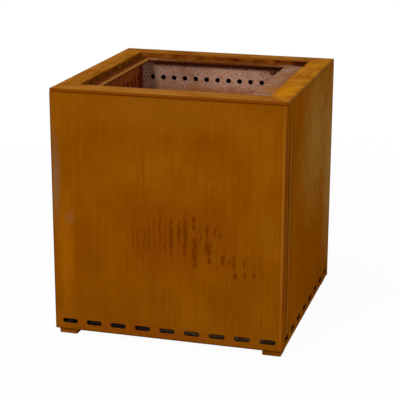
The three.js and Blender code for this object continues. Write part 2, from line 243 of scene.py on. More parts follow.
def distance(
    tree: Tree, place: Socket, centre_mm: Point, reach_mm: Point, boxy: bool = False
) -> Socket:
    """Distance of a place from a centre, in shares of a reach along each axis.

    Args:
        tree: Node tree that gets the nodes.
        place: The place.
        centre_mm: The centre.
        reach_mm: Distance along each axis that counts as one.
        boxy: Whether all places on a box are equally far, and not those on an egg.

    Returns:
        The distance.
    """
    centre = tuple(value / 1000 for value in centre_mm)
    reach = tuple(value / 1000 for value in reach_mm)
    away = add_node(tree, "ShaderNodeVectorMath", place, centre, operation="SUBTRACT")[0]
    shares = add_node(tree, "ShaderNodeVectorMath", away, reach, operation="DIVIDE")[0]
    if boxy:
        return largest(tree, shares)
    return add_node(tree, "ShaderNodeVectorMath", shares, operation="LENGTH")["Value"]


@dataclass(frozen=True)
class Patch:
    """A soft-edged tint laid at one place of the object."""

    centre_mm: Point
    reach_mm: Point
    tint: str
    strength: float = 0.5  # how much it covers in its middle
    ragged: float = 0.25  # share of the reach by which its edge is frayed
    soft: float = 0.8  # share of the reach over which it fades out
    boxy: bool = False  # whether its outline is a box instead of an egg
    fray_mm: Point = (14, 14, 30)  # size of one notch of the frayed edge

    def lay(self, tree: Tree, colour: Socket) -> Socket:
        """Lays the patch over a colour.

        Args:
            tree: Node tree that gets the nodes.
            colour: Colour below.

        Returns:
            The colour with the patch on it.
        """
        place = add_node(tree, "ShaderNodeTexCoord")["Object"]
        away = distance(tree, place, self.centre_mm, self.reach_mm, self.boxy)
        # A pattern is a half on average, so twice the fray moves the edge out by the fray.
        inputs = pattern(tree, self.fray_mm, detail=3), self.ragged * 2, away
        frayed = add_node(tree, "ShaderNodeMath", *inputs, operation="MULTIPLY_ADD")[0]
        edge = 1.0 + self.ragged
        return laid_over(tree, colour, self.tint, frayed, edge, edge - self.soft, self.strength)


@dataclass(frozen=True)
class RunMarks:
    """Dark upright runs on the front face, left by water that ran down while the rust formed."""

    # Place, level, width and length of each run.
    runs_mm: tuple[tuple[float, float, float, float], ...]
    tint: str
    strength: float
    waver_mm: float  # how far they wander to the sides
    waver_size_mm: Point = (14, 14, 15)  # size of one bend of their wandering
    blotch_mm: Point = (5, 5, 10)  # size of the blotches that break them up
    fray: float = 2.4  # how much the blotches eat into them
    faint: float = 2.4  # share of its reach at which a run begins to show, counted with the fray
    full: float = 1.6  # share of its reach from which it shows in full, counted so too
    widen: float = 1.2  # how many times its reach a run is wide, as the fray leaves it
    lengthen: float = 1.9  # how many times its reach a run is long, as the fray leaves it
    face_mm: float = -250  # where the front face lies
    depth_mm: float = 12  # how deep the runs reach, so that bends of the sheet take them too

    def lay(self, tree: Tree, colour: Socket) -> Socket:
        """Lays the runs over a colour.

        Args:
            tree: Node tree that gets the nodes.
            colour: Colour below.

        Returns:
            The colour with the runs on it.
        """
        wave = pattern(tree, self.waver_size_mm, detail=2)
        sway = add_node(tree, "ShaderNodeMath", wave, 0.5, operation="SUBTRACT")[0]
        reach = self.waver_mm / 1000
        aside = add_node(tree, "ShaderNodeMath", sway, reach, operation="MULTIPLY")[0]
        aside = add_node(tree, "ShaderNodeCombineXYZ", aside)[0]
        place = add_node(tree, "ShaderNodeTexCoord")["Object"]
        place = add_node(tree, "ShaderNodeVectorMath", place, aside, operation="ADD")[0]
        nearest: Socket | float = 1000.0
        for across, level, width, length in self.runs_mm:
            reach = (width / self.widen, self.depth_mm, length / self.lengthen)
            away = distance(tree, place, (across, self.face_mm, level), reach)
            nearest = add_node(tree, "ShaderNodeMath", nearest, away, operation="MINIMUM")[0]
        blotches = pattern(tree, self.blotch_mm, detail=2, roughness=0.6)
        inputs = blotches, self.fray, nearest
        frayed = add_node(tree, "ShaderNodeMath", *inputs, operation="MULTIPLY_ADD")[0]
        return laid_over(tree, colour, self.tint, frayed, self.faint, self.full, self.strength)


# ---- finishes


def blank_material(name: str) -> tuple[Finish, Tree, bpy.types.Node]:
    """A new material with its surface shader.

    Args:
        name: Name of the material.

    Returns:
        The material, its node tree and its shader node.
    """
    material = bpy.data.materials.new(name)
    material.use_nodes = True
    tree = material.node_tree
    shader = next(node for node in tree.nodes if node.type == "BSDF_PRINCIPLED")
    return material, tree, shader


@dataclass(frozen=True)
class MineralSkin:
    """What rust and heat scale share: a dull skin without a bright reflection at any angle."""

    roughness: float
    spread: float  # how much grit varies the roughness, up and down
    bump: float  # how strongly its relief shows
    relief_mm: float  # how high its relief is
    grit_levels: tuple[float, float] = (0.2, 0.8)  # levels of the grit between which it varies

    def dress(
        self, tree: Tree, shader: bpy.types.Node, colour: Socket, relief: Socket, grit: Socket
    ) -> None:
        """Gives a shader its colour, relief and uneven roughness.

        Args:
            tree: Node tree of the material.
            shader: Its shader.
            colour: Colour of the skin.
            relief: Pattern of its relief.
            grit: Pattern of its roughness.
        """
        ends = self.roughness - self.spread, self.roughness + self.spread
        levels = (*self.grit_levels, *ends)
        dull = add_node(tree, "ShaderNodeMapRange", grit, *levels, **SOFT)[0]
        inputs = {"Height": relief, "Strength": self.bump, "Distance": self.relief_mm / 1000}
        uneven = add_node(tree, "ShaderNodeBump", inputs)[0]
        for name, socket in (("Base Color", colour), ("Roughness", dull), ("Normal", uneven)):
            tree.links.new(socket, shader.inputs[name])
        shader.inputs["Specular IOR Level"].default_value = 0.0


@dataclass(frozen=True)
class RustPatina:
    """Hot-rolled weathering steel whose rust has grown tight and even.

    Real surface: sheet rusted outdoors in wetting and drying turns. The oxide is a dull mineral
    skin, so it has no bright reflection; the eye reads it by its orange brown, the fine upright
    lines that water and the mill's rolls left, and soft darker clouds.

    The real lines are about 1 mm wide and the grit of the rust about 0.3 mm, which is too fine to
    show where a pixel is 2 mm. They are drawn as coarse as they need to be to show.
    """

    name: str
    base: str = "#824602"
    deep: str = "#7c4000"  # darker colour of clouds, lines and specks
    pale: str = "#8a4e05"  # lighter colour of clouds and lines
    grain: Grain = Grain.UPRIGHT
    line_width_mm: float = 4.0
    line_length_mm: float = 110.0
    cloud_mm: float = 95.0
    speck_mm: float = 2.6
    line_strength: float = 0.65
    speck_strength: float = 0.4
    shift: float = 0.0  # offset that sets two sheets' patterns apart
    # Distance from the pit's middle below which a sheet shows its inner face.
    inside_mm: float = 0.0
    inside: str = "#83776c"  # colour of the inner face, which has kept its grey mill scale
    # Levels between which that is so; flanges and rims above and below rust.
    inside_levels_mm: tuple[float, float] = (16, 525)
    inside_fade_mm: float = 0.2  # depth over which the inner face sets in
    inside_rise_mm: float = 1.0  # height over which it does
    patches: tuple[Patch, ...] = ()
    marks: tuple[RunMarks, ...] = ()
    surface: MineralSkin = MineralSkin(roughness=0.82, spread=0.08, bump=0.25, relief_mm=0.4)

    def build(self) -> Finish:
        """Makes the material.

        Returns:
            The material.
        """
        material, tree, shader = blank_material(self.name)
        clouds = pattern(tree, (self.cloud_mm,) * 3, detail=4, shift=self.shift)
        line = self.grain.feature(self.line_width_mm, self.line_length_mm)
        lines = pattern(tree, line, detail=3, roughness=0.6, shift=self.shift)
        specks = pattern(tree, (self.speck_mm,) * 3, detail=2, shift=self.shift)
        shades = ((0.30, self.deep), (0.70, self.pale), (0.5, self.base))
        colour = add_node(tree, "ShaderNodeValToRGB", clouds, stops=shades)[0]
        for tint, level, start, full, strength in (
            (self.deep, lines, 0.50, 0.32, self.line_strength),
            (self.pale, lines, 0.52, 0.70, self.line_strength),
            (self.deep, specks, 0.55, 0.75, self.speck_strength),
        ):
            colour = laid_over(tree, colour, tint, level, start, full, strength)
        for mark in (*self.patches, *self.marks):
            colour = mark.lay(tree, colour)
        if self.inside_mm:
            inputs = {0: self.inner_mask(tree), 6: colour, 7: linear(self.inside)}
            colour = add_node(tree, "ShaderNodeMix", inputs, data_type="RGBA")[2]
        relief = add_node(tree, "ShaderNodeMath", lines, specks, operation="ADD")[0]
        self.surface.dress(tree, shader, colour, relief, specks)
        return material

    def inner_mask(self, tree: Tree) -> Socket:
        """Where a sheet faces the air gap.

        Args:
            tree: Node tree that gets the nodes.

        Returns:
            The mask.
        """
        place = add_node(tree, "ShaderNodeTexCoord")["Object"]
        plan = add_node(tree, "ShaderNodeVectorMath", place, (1, 1, 0), operation="MULTIPLY")[0]
        level = add_node(tree, "ShaderNodeSeparateXYZ", place)["Z"]
        reach, bottom, top = (v / 1000 for v in (self.inside_mm, *self.inside_levels_mm))
        fade, rise = self.inside_fade_mm / 1000, self.inside_rise_mm / 1000
        mask: Socket | float = 1.0
        for value, start, full in (
            (largest(tree, plan), reach, reach - fade),
            (level, bottom - rise, bottom),
            (level, top + rise, top),
        ):
            step = add_node(tree, "ShaderNodeMapRange", value, start, full, **SOFT)[0]
            mask = add_node(tree, "ShaderNodeMath", step, mask, operation="MULTIPLY")[0]
        return mask


@dataclass(frozen=True)
class HeatScale:
    """Weathering steel plate that fires have scaled.

    Real surface: oxide that was heated and cooled many times. It is chalky and pinkish brown to
    grey, mottled like stone, with dark flecks where scale has come off.

    Most of the real flecks are 1 to 2 mm wide, which is too fine to show where a pixel is 2 mm.
    They are drawn 4 mm wide.
    """

    name: str
    base: str = "#a87e66"
    grey: str = "#b8968a"  # colour of the palest mottles
    rust: str = "#9a684a"  # colour of the warmest mottles
    dark: str = "#4a281a"
    ember: str = "#a4532c"  # colour of bright rust spots
    mottle_mm: float = 26.0
    fleck_mm: float = 4.0
    fleck_drop: float = 1.6  # how many times its width a fleck is high
    ember_size: float = 1.3  # size of a rust spot, as a share of a fleck's
    ember_shift: float = 20  # offset that sets the spots apart from the flecks
    shift: float = 0.0
    patches: tuple[Patch, ...] = ()
    surface: MineralSkin = MineralSkin(roughness=0.85, spread=0.1, bump=0.4, relief_mm=0.6)

    def build(self) -> Finish:
        """Makes the material.

        Returns:
            The material.
        """
        material, tree, shader = blank_material(self.name)
        mottle = pattern(tree, (self.mottle_mm,) * 3, detail=5, roughness=0.62, shift=self.shift)
        fleck = (self.fleck_mm, self.fleck_mm, self.fleck_mm * self.fleck_drop)
        flecks = pattern(tree, fleck, detail=3, roughness=0.7, shift=self.shift)
        ember = (self.fleck_mm * self.ember_size,) * 3
        embers = pattern(tree, ember, detail=2, shift=self.shift + self.ember_shift)
        shades = ((0.3, self.rust), (0.7, self.grey), (0.48, self.base))
        colour = add_node(tree, "ShaderNodeValToRGB", mottle, stops=shades)[0]
        for tint, start, full, strength in (
            (self.dark, 0.56, 0.72, 0.75),
            (self.grey, 0.42, 0.28, 0.5),
        ):
            colour = laid_over(tree, colour, tint, flecks, start, full, strength)
        for patch in self.patches:
            colour = patch.lay(tree, colour)
        colour = laid_over(tree, colour, self.ember, embers, start=0.51, full=0.66, strength=0.7)
        self.surface.dress(tree, shader, colour, flecks, flecks)
        return material


@dataclass(frozen=True)
class OxidisedSteel:
    """Mild steel bar, sheet or bolt with a dark oxide skin and rust where water stays.

    Real surface: rolled or forged metal under a thin black to brown oxide. The metal still shines a
    little through, so highlights are broad and dark, and rust breaks them up in spots.

    The real marks of drawing and rolling are about 0.2 mm wide, and are drawn 0.9 mm wide to show.
    """

    name: str
    base: str
    rust: str
    rust_share: float
    spot_mm: float
    metallic: float  # how much of the metal shows through the oxide
    roughness: float
    grain: Grain = Grain.ACROSS
    line_mm: tuple[float, float] = (0.9, 24)  # width and length of a mark
    line_levels: tuple[float, float] = (0.25, 0.75)  # levels between which the marks vary
    line_shades: tuple[float, float] = (0.7, 1.3)  # how bright they make the base there
    rust_level: float = 0.72  # level of the spots above which there would be rust at a share of 0
    rust_gain: float = 0.4  # how much lower it is at a share of 1
    rust_fade: float = 0.08  # half the range of levels over which the rust sets in
    rust_roughness: float = 0.9
    bump: float = 0.3  # how strongly its relief shows
    relief_mm: float = 0.4  # how high its relief is

    def build(self) -> Finish:
        """Makes the material.

        Returns:
            The material.
        """
        material, tree, shader = blank_material(self.name)
        spots = pattern(tree, (self.spot_mm,) * 3, detail=5, roughness=0.65)
        lines = pattern(tree, self.grain.feature(*self.line_mm), detail=2)
        edge = self.rust_level - self.rust_share * self.rust_gain
        levels = edge - self.rust_fade, edge + self.rust_fade
        rusty = add_node(tree, "ShaderNodeMapRange", spots, *levels, **SOFT)[0]
        levels = (*self.line_levels, *self.line_shades)
        shine = add_node(tree, "ShaderNodeMapRange", lines, *levels, **SOFT)[0]
        inputs = {"Value": shine, "Color": linear(self.base)}
        oxide = add_node(tree, "ShaderNodeHueSaturation", inputs)[0]
        inputs = {0: rusty, 6: oxide, 7: linear(self.rust)}
        colour = add_node(tree, "ShaderNodeMix", inputs, data_type="RGBA")[2]
        inputs = {"Height": spots, "Strength": self.bump, "Distance": self.relief_mm / 1000}
        uneven = add_node(tree, "ShaderNodeBump", inputs)[0]
        tree.links.new(colour, shader.inputs["Base Color"])
        tree.links.new(uneven, shader.inputs["Normal"])
        for name, *ends in (
            ("Metallic", self.metallic, 0.0),
            ("Roughness", self.roughness, self.rust_roughness),
        ):
            value = add_node(tree, "ShaderNodeMapRange", rusty, 0.0, 1.0, *ends, **SOFT)[0]
            tree.links.new(value, shader.inputs[name])
        return material


# ---- helpers for meshes


def skin(rings: Sequence[Ring], closed: bool = False) -> Mesh:
    """Skins a row of rings that have as many points each.

    Args:
        rings: The rings, in order.
        closed: Whether the last ring joins the first; otherwise both ends are capped.

    Returns:
        The closed mesh.
    """
    mesh = bmesh.new()
    rows = [[mesh.verts.new(point) for point in ring] for ring in rings]
    pairs = list(zip(rows, rows[1:]))
    if closed:
        pairs.append((rows[-1], rows[0]))
    for first, second in pairs:
        for i in range(len(first)):
            j = (i + 1) % len(first)
            mesh.faces.new((first[i], first[j], second[j], second[i]))
    if not closed:
        mesh.faces.new(rows[0])
        mesh.faces.new(list(reversed(rows[-1])))
    bmesh.ops.recalc_face_normals(mesh, faces=mesh.faces)
    return mesh


def joined(parts: Iterable[Mesh]) -> Mesh:
    """Gathers several meshes in one.

    Args:
        parts: The meshes; they are used up.

    Returns:
        One mesh with all of them.
    """
    whole = bmesh.new()
    for part in parts:
        scratch = bpy.data.meshes.new("part")
        part.to_mesh(scratch)
        whole.from_mesh(scratch)
        bpy.data.meshes.remove(scratch)
        part.free()
    return whole


def piece(name: str, mesh: Mesh, finish: Finish, sharp: float = SHARP_ANGLE) -> bpy.types.Object:
    """Makes an object from a mesh, smooth but for its sharp edges.

    Args:
        name: Name of the piece.
        mesh: Its mesh; it is used up.
        finish: Its finish.
        sharp: Angle above which an edge stays sharp.

    Returns:
        The object.
    """
    for face in mesh.faces:
        face.smooth = True
    for edge in mesh.edges:
        if len(edge.link_faces) == 2 and edge.calc_face_angle(0.0) > sharp:
            edge.smooth = False
    data = bpy.data.meshes.new(name)
    mesh.to_mesh(data)
    mesh.free()
    data.materials.append(finish)
    made = bpy.data.objects.new(name, data)
    bpy.context.scene.collection.objects.link(made)
    LOG.info("built %s in %s", name, finish.name)
    return made


def around(centre: Vector, first: Vector, second: Vector, radii: Sequence[float]) -> Ring:
    """Points round a centre at even angles.

    Args:
        centre: The centre.
        first: Unit direction of the first point.
        second: Unit direction at a right angle to it.
        radii: Distance of each point.

    Returns:
        The points.
    """
    points = []
    for i, radius in enumerate(radii):
        angle = 2 * math.pi * i / len(radii)
        out = first * (radius * math.cos(angle))
        points.append(centre + out + second * (radius * math.sin(angle)))
    return points


def rounded_square(reach: float, radius: float, level: float, steps: int = 6) -> Ring:
    """Points of a square with rounded corners, flat at one level.

    Args:
        reach: Half its width.
        radius: Radius of its corners.
        level: Its height.
        steps: Steps in each corner.

    Returns:
        The points, anticlockwise.
    """
    points = []
    for corner, (sx, sy) in enumerate(((-1, -1), (1, -1), (1, 1), (-1, 1))):
        middle = Vector((sx * (reach - radius), sy * (reach - radius), level))
        for step in range(steps + 1):
            angle = math.pi + (corner + step / steps) * math.pi / 2
            points.append(middle + Vector((math.cos(angle), math.sin(angle), 0)) * radius)
    return points


def swept(path: Sequence[Vector], radii: Sequence[float], sides: int) -> Mesh:
    """A rod of changing radius along a path.

    Args:
        path: Points of its middle line.
        radii: Its radius at each point.
        sides: Sides of its section.

    Returns:
        The mesh.
    """
    rings = []
    first = None
    for i, point in enumerate(path):
        along = (path[min(i + 1, len(path) - 1)] - path[max(i - 1, 0)]).normalized()
        if first is None:
            first = along.orthogonal().normalized()
        else:
            first = (first - along * first.dot(along)).normalized()
        rings.append(around(point, first, along.cross(first), [radii[i]] * sides))
    return skin(rings)


@dataclass(frozen=True)
class WeldBead:
    """A run of weld with its ripples, sunk by half in the joint."""

    width: float
    step: float = 0.16  # spacing of its sections, as a share of its width
    fewest: int = 8  # steps of a run that is too short for as many
    ripple: float = 0.10  # height of a ripple, as a share of its radius
    ripples: float = 1.7  # number of ripples in a length of one width
    sway: float = 0.06  # how far it wanders, as a share of its width
    bends: float = 180  # number of bends of its wandering in a metre
    taper: float = 0.45  # length of its thinner ends, as a share of its width
    tip: float = 0.02  # square of the share of its radius that is left at its tips
    sides: int = 8

    def run(
        self, start: Point | Vector, end: Point | Vector, seed: int, place: Turned | None = None
    ) -> Mesh:
        """Lays one run.

        Args:
            start: Where the run starts.
            end: Where it ends.
            seed: Number that sets its unevenness.
            place: Place round the pit to which it is turned.

        Returns:
            The mesh.
        """
        start, end = Vector(start), Vector(end)
        length = (end - start).length
        count = max(self.fewest, int(length / (self.width * self.step)))
        phase = random.Random(seed).uniform(0, 6.28)
        path, radii = [], []
        for i in range(count + 1):
            share = i / count
            at = share * length
            sway = noise.noise(Vector((at * self.bends, seed, 0))) * self.width * self.sway
            path.append(start.lerp(end, share) + Vector((sway, sway, sway)))
            wave = math.sin(at / self.width * 2 * math.pi * self.ripples + phase)
            left = min(share, 1 - share) * length / (self.width * self.taper)
            thinned = min(1.0, math.sqrt(max(self.tip, left)))
            radii.append(self.width / 2 * (1 + self.ripple * wave) * thinned)
        bead = swept(path, radii, self.sides)
        if place is not None:
            bead.transform(place.turn)
        return bead


def soften(node: str, finish: Finish, edge: float = 0.0004) -> None:
    """Dresses a solid that keeps its shape: smooth bends, broken edges and its finish.

    Args:
        node: Name of the solid.
        finish: Its finish.
        edge: Width of the broken edges.
    """
    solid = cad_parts[node]
    solid.data.materials.clear()
    solid.data.materials.append(finish)
    smoothing = solid.modifiers.new("smooth_bends", "NODES")
    smoothing.node_group = smooth_bends()
    bevel = solid.modifiers.new("broken_edges", "BEVEL")
    bevel.width = edge
    bevel.segments = 2
    bevel.limit_method = "ANGLE"
    bevel.angle_limit = SHARP_ANGLE
    bevel.harden_normals = True
    LOG.info("dressed %s in %s", node, finish.name)


def smooth_bends() -> Tree:
    """Modifier that joins a solid's faces and smooths them except over sharp edges.

    Returns:
        The modifier's node tree, made once.
    """
    known = bpy.data.node_groups.get("smooth_bends")
    if known:
        return known
    tree = bpy.data.node_groups.new("smooth_bends", "GeometryNodeTree")
    for way in ("INPUT", "OUTPUT"):
        tree.interface.new_socket("Geometry", in_out=way, socket_type="NodeSocketGeometry")
    solid = add_node(tree, "NodeGroupInput")[0]
    inputs = {"Geometry": solid, "Distance": MERGE_DISTANCE}
    solid = add_node(tree, "GeometryNodeMergeByDistance", inputs)[0]
    inputs = {"Geometry": solid, "Shade Smooth": True}
    solid = add_node(tree, "GeometryNodeSetShadeSmooth", inputs)[0]
    angle = add_node(tree, "GeometryNodeInputMeshEdgeAngle")["Unsigned Angle"]
    gentle = add_node(tree, "FunctionNodeCompare", angle, SHARP_ANGLE, operation="LESS_THAN")[0]
    inputs = {"Geometry": solid, "Shade Smooth": gentle}
    solid = add_node(tree, "GeometryNodeSetShadeSmooth", inputs, domain="EDGE")[0]
    add_node(tree, "NodeGroupOutput", solid)
    return tree


# ---- sub-assemblies


@dataclass
class Casing:
    """Outer box: two wraps, corner angles, floor plate, feet and their welds."""

    stitch_bead: WeldBead = WeldBead(0.0035)
    stitch: float = 0.030  # length of a stitch
    stitch_levels: tuple[float, ...] = (0.075, 0.20, 0.335, 0.47)  # where the stitches start
    foot_bead: WeldBead = WeldBead(0.003)
    foot_inset: float = 0.003  # how far that bead stops short of the foot's edge
    foot_edge: float = 0.0006  # width of the feet's broken edges
    # Finish of the wrap that makes the front and right faces.
    front: RustPatina = RustPatina(
        "rust_patina_casing_front", inside_mm=247.3,
        patches=(
            # Front face: paler top as painted light, redder in the middle, dusty at the left edge.
            Patch((0, -250, 500), (260, 12, 60), "#8c5210", 0.5, 0.3),
            Patch((20, -250, 240), (170, 12, 120), "#7c3c02", 0.6, 0.3),
            Patch((-222, -250, 190), (26, 12, 190), "#965404", 0.7, 0.3),
            Patch((-241, -250, 350), (13, 12, 135), "#7c5838", 0.65, 0.3, 0.9),
            Patch((-212, -250, 264), (16, 12, 20), "#80583a", 0.25, 0.4),
            Patch((0, -250, 26), (280, 12, 26), "#84420a", 0.6, 0.4),
            # Right face: redder below, paler and greyer above and towards the back.
            Patch((250, -20, 120), (14, 260, 110), "#844402", 0.6, 0.3),
            Patch((250, 60, 400), (14, 250, 260), "#926a2c", 0.9, 0.5, 1.3),
            Patch((250, 225, 290), (14, 110, 340), "#98743a", 0.8, 0.5, 1.3),
            # Right face: upright lines that folding the sheet left beside the front right corner.
            Patch((250, -227, 270), (14, 9, 500), "#5a2c04", 0.95, 0.1),
            Patch((250, -213, 270), (14, 6, 500), "#8a5a20", 0.8, 0.1),
            Patch((250, -200, 270), (14, 7, 500), "#68380a", 0.7, 0.1),
            # Painted highlight on the front face, along the bend of the corner.
            Patch((243, -250, 270), (3.2, 4, 500), "#9a5e1c", 0.7, 0.2),
            # Painted shade on the corner itself.
            Patch((250, -249, 270), (4.0, 4, 500), "#4e2612", 0.85, 0.2),
            # Paler near the front face's right edge.
            Patch((214, -250, 262), (24, 12, 60), "#84500e", 0.5, 0.3),
            # Cut faces of the slots: painted shade, nearly black, as little light reaches them.
            Patch((0, -248.3, 31.5), (236, 1.1, 6), "#20120a", 0.95, 0.0, 0.05, True),
            Patch((248.3, 0, 31.5), (1.1, 236, 6), "#20120a", 0.95, 0.0, 0.05, True),
            # Painted shade at the bottom edges and below the rim; darker along the front left fold.
            Patch((0, -250, 11), (400, 12, 4.5), "#4a2404", 0.85, 0.1, 0.8, True),
            Patch((250, 0, 11), (12, 400, 4.5), "#4a2404", 0.85, 0.1, 0.8, True),
            Patch((-250, -250, 270), (3.5, 12, 600), "#5c2c06", 0.5, 0.1, 0.8, True),
            Patch((0, -250, 532), (400, 12, 4.5), "#6a3402", 0.7, 0.1, 0.8, True),
        ),
        marks=(
            # Fine runs, most of them at the left.
            RunMarks(
                (
                    (-73, 228, 2.6, 31), (-62, 230, 2.6, 57), (-48, 233, 2.6, 70),
                    (-38, 236, 2.8, 83), (-27, 244, 2.8, 89), (-14, 253, 3.0, 113),
                    (-3, 241, 3.2, 87), (72, 248, 3.0, 61), (104, 258, 3.4, 30),
                    (114, 257, 3.7, 34), (134, 198, 4.7, 13), (164, 193, 3.4, 26),
                    (166, 171, 4.3, 17), (187, 173, 5.1, 17), (206, 175, 3.3, 13),
                ),
                "#6a3000", 0.75, 12.0,
            ),
            # Heavy runs, towards the right.
            RunMarks(
                (
                    (10, 241, 5.5, 85), (27, 252, 4.3, 58), (40, 246, 6.8, 97),
                    (59, 274, 4.7, 36), (61, 214, 9.0, 76), (87, 259, 5.1, 34),
                    (89, 222, 9.7, 39), (92, 197, 6.3, 19), (121, 201, 6.3, 31),
                    (144, 198, 4.6, 33), (147, 170, 6.3, 23),
                ),
                "#662c00", 0.9, 8.0,
            ),
        ),
    )
    # Finish of the wrap that makes the back and left faces.
    back: RustPatina = RustPatina(
        "rust_patina_casing_back", shift=4.7, inside_mm=247.3,
        patches=(
            # Clouds and tones of the same kind as in front, with the same painted light towards the
            # top.
            Patch((0, 250, 480), (260, 12, 80), "#8c5210", 0.5, 0.3),
            Patch((-60, 250, 200), (150, 12, 110), "#7c3c02", 0.5, 0.3),
            Patch((-250, 0, 420), (12, 190, 160), "#845418", 0.5, 0.5, 1.3),
            Patch((0, 250, 26), (280, 12, 26), "#84420a", 0.6, 0.4),
            Patch((-250, 0, 26), (12, 280, 26), "#84420a", 0.6, 0.4),
            # Cut faces of the slots: painted shade, nearly black.
            Patch((0, 248.3, 31.5), (236, 1.1, 6), "#20120a", 0.95, 0.0, 0.05, True),
            Patch((-248.3, 0, 31.5), (1.1, 236, 6), "#20120a", 0.95, 0.0, 0.05, True),
        ),
    )
    # Finish of the corner angles and welds, inside.
    hidden: RustPatina = RustPatina(
        "rust_patina_inside", base="#83776c", deep="#6c6056", pale="#94887c", shift=2.1
    )
    # Finish of the floor plate, with a pale strip of painted light behind the front slots.
    floor: RustPatina = RustPatina(
        "mill_scale_floor_plate", "#4a3a30", "#3a2c24", "#5c4a3e", Grain.ACROSS, shift=3.9,
        cloud_mm=40,
        patches=(Patch((95, -222, 17), (170, 34, 12), "#bc8654", 0.95, 0.2, 0.5, True),),
    )
    # Finish of the feet.
    foot: RustPatina = RustPatina(
        "rust_patina_feet", base="#7c3f06", deep="#5c2c04", pale="#8c5014", shift=7.0
    )

    def build(self) -> None:
        """Dresses the casing's solids and adds its welds."""
        hidden, foot = self.hidden.build(), self.foot.build()
        soften("casing_wrap_front_right", self.front.build())
        soften("casing_wrap_back_left", self.back.build())
        soften("corner_angle_front_left", hidden)
        soften("corner_angle_back_right", hidden)
        soften("floor_plate", self.floor.build())
        for corner in Corner:
            soften(f"foot_{corner.label}", foot, self.foot_edge)
        self.welds(hidden)

    def welds(self, finish: Finish) -> None:
        """Stitches of the corner angles and the beads round the feet.

        Args:
            finish: Finish of the welds.
        """
        beads = []
        low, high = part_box("corner_angle_front_left")
        for corner in (Corner.FRONT_LEFT, Corner.BACK_RIGHT):
            for number, level in enumerate(self.stitch_levels):
                for x, y in ((high.x, low.y), (low.x, high.y)):
                    ends = (x, y, level), (x, y, level + self.stitch)
                    beads.append(self.stitch_bead.run(*ends, number, corner))
        low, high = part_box("foot_front_left")
        inset, top = self.foot_inset, high.z
        for number, corner in enumerate(Corner):
            for ends in (
                ((low.x + inset, high.y, top), (high.x - inset, high.y, top)),
                ((high.x, low.y + inset, top), (high.x, high.y - inset, top)),
            ):
                beads.append(self.foot_bead.run(*ends, 40 + number, corner))
        made = piece("casing_welds", joined(beads), finish)
        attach(made, "body")


@dataclass
class Firebox:
    """Inner box: four walls with air holes, grate rests and their welds."""

    seam_bead: WeldBead = WeldBead(0.0032)
    seam_start: float = 0.004  # how far above the walls' lower edge the seams start
    seam_end: float = 0.002  # how far below their upper edge the seams end
    rest_bead: WeldBead = WeldBead(0.004)
    # Finish of each wall, in the order of the sides.
    walls: tuple[HeatScale, ...] = (
        # Foot of the outer face, seen through the slots: pale grey and peach as painted light.
        HeatScale(
            "heat_scale_front", shift=1.3,
            patches=(
                Patch((-100, -210, 30), (90, 13, 30), "#a49c98", 0.9, 0.1, 0.3, True),
                Patch((105, -210, 30), (150, 13, 30), "#ffdcb0", 0.97, 0.1, 0.3, True),
            ),
        ),
        HeatScale("heat_scale_right", shift=3.1),
        # Chalky pink below the ring, with painted light that makes it paler in the middle and
        # right.
        HeatScale(
            "heat_scale_back", shift=5.2,
            patches=(
                Patch((30, 197, 480), (130, 12, 70), "#d8a68c", 0.85, 0.3),
                Patch((130, 197, 480), (60, 12, 60), "#d4a486", 0.75, 0.3),
                # Brown under the holes.
                Patch((0, 197, 440), (300, 12, 42), "#a05a1c", 0.78, 0.4),
                # Painted shade along the upper edge, under the ring.
                Patch((0, 197, 522), (300, 12, 13), "#8a3c10", 0.85, 0.2, 0.5, True),
                # Painted light in the left corner, lifting the shade there.
                Patch((-186, 197, 482), (21, 12, 90), "#f0c0a0", 0.9, 0.3, 0.7, True),
            ),
        ),
        # Less scaled, with black drips below the holes and painted shade in the back corner.
        HeatScale(
            "heat_scale_left", base="#a8541e", grey="#b66632", rust="#963e0c", dark="#3a1204",
            ember="#9c3c0c", shift=8.4,
            patches=(
                *(
                    Patch((-197, across, level), (12, 5, 16), "#200c04", 0.9, 0.4, 0.6)
                    for across, level in ((22, 476), (58, 472), (94, 470), (130, 470), (148, 466))
                ),
                Patch((-197, 184, 490), (12, 18, 90), "#6a240c", 0.8, 0.2, 0.6, True),
            ),
        ),
    )
    rests: HeatScale = HeatScale("heat_scale_rests", base="#5c4034", grey="#76594b")

    def build(self) -> None:
        """Dresses the walls and rests and adds the welds."""
        rests = self.rests.build()
        for side, wall in zip(Side, self.walls, strict=True):
            soften(f"firebox_{side.label}", wall.build())
            soften(f"grate_rest_{side.label}", rests)
        self.welds(rests)

    def welds(self, finish: Finish) -> None:
        """Corner seams inside the firebox and the beads over the grate rests.

        Args:
            finish: Finish of the welds.
        """
        beads = []
        low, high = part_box("firebox_left")
        bottom, top = low.z + self.seam_start, high.z - self.seam_end
        rest_low, rest_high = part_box("grate_rest_front")
        y, z = rest_low.y, rest_high.z
        for number, corner in enumerate(Corner):
            ends = (high.x, high.x, bottom), (high.x, high.x, top)
            beads.append(self.seam_bead.run(*ends, 60 + number, corner))
            ends = (rest_low.x, y, z), (rest_high.x, y, z)
            beads.append(self.rest_bead.run(*ends, 70 + number, corner))
        made = piece("firebox_welds", joined(beads), finish)
        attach(made, "body")


